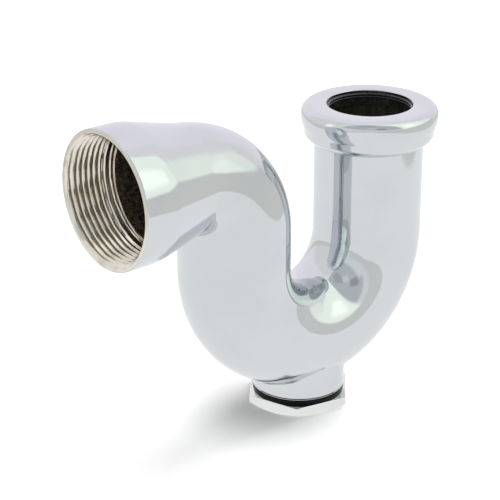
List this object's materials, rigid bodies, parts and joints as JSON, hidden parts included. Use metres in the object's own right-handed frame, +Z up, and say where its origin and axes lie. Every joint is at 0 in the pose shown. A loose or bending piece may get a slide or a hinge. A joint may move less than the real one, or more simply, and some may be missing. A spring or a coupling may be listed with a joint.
{
  "type": "tubular trap",
  "caption": "Cast chrome-plated P-trap: round inlet collar with a rubber seal, U-bend, elbow to a flared threaded socket, and a hexagon cleanout plug under the bend.",
  "frame": {"origin": "middle of the cleanout plug's flat foot, which the trap stands on", "axes": "+Z up along the inlet, +X from the outlet towards the inlet, the pipe's centre line in the XZ plane"},
  "size_m": [0.1503, 0.0524, 0.1289],
  "materials": {
    "chrome_plate": "polished chrome plate on cast brass, bare machined thread, dark cast bore",
    "seal_rubber": "smooth black rubber",
    "plug_chrome": "polished chrome plate on turned brass",
    "washer_rubber": "plain black rubber sheet"
  },
  "bodies": {
    "trap": {"trap_body": "chrome_plate", "inlet_seal": "seal_rubber"},
    "washer": {"cleanout_washer": "washer_rubber"},
    "plug": {"cleanout_plug": "plug_chrome"}
  },
  "joints": [
    {"name": "plug_travel", "type": "slide", "parent": "trap", "child": "washer", "axis": [0, 0, -1], "range_m": [0, 0.0091]},
    {"name": "plug_turn", "type": "hinge", "parent": "washer", "child": "plug", "pos_m": [0, 0, 0], "axis": [0, 0, -1], "range_deg": [0, 1800]}
  ],
  "couplings": [
    {"joint": "plug_travel", "follows": "plug_turn", "m_per_rad": 0.00028871}
  ]
}
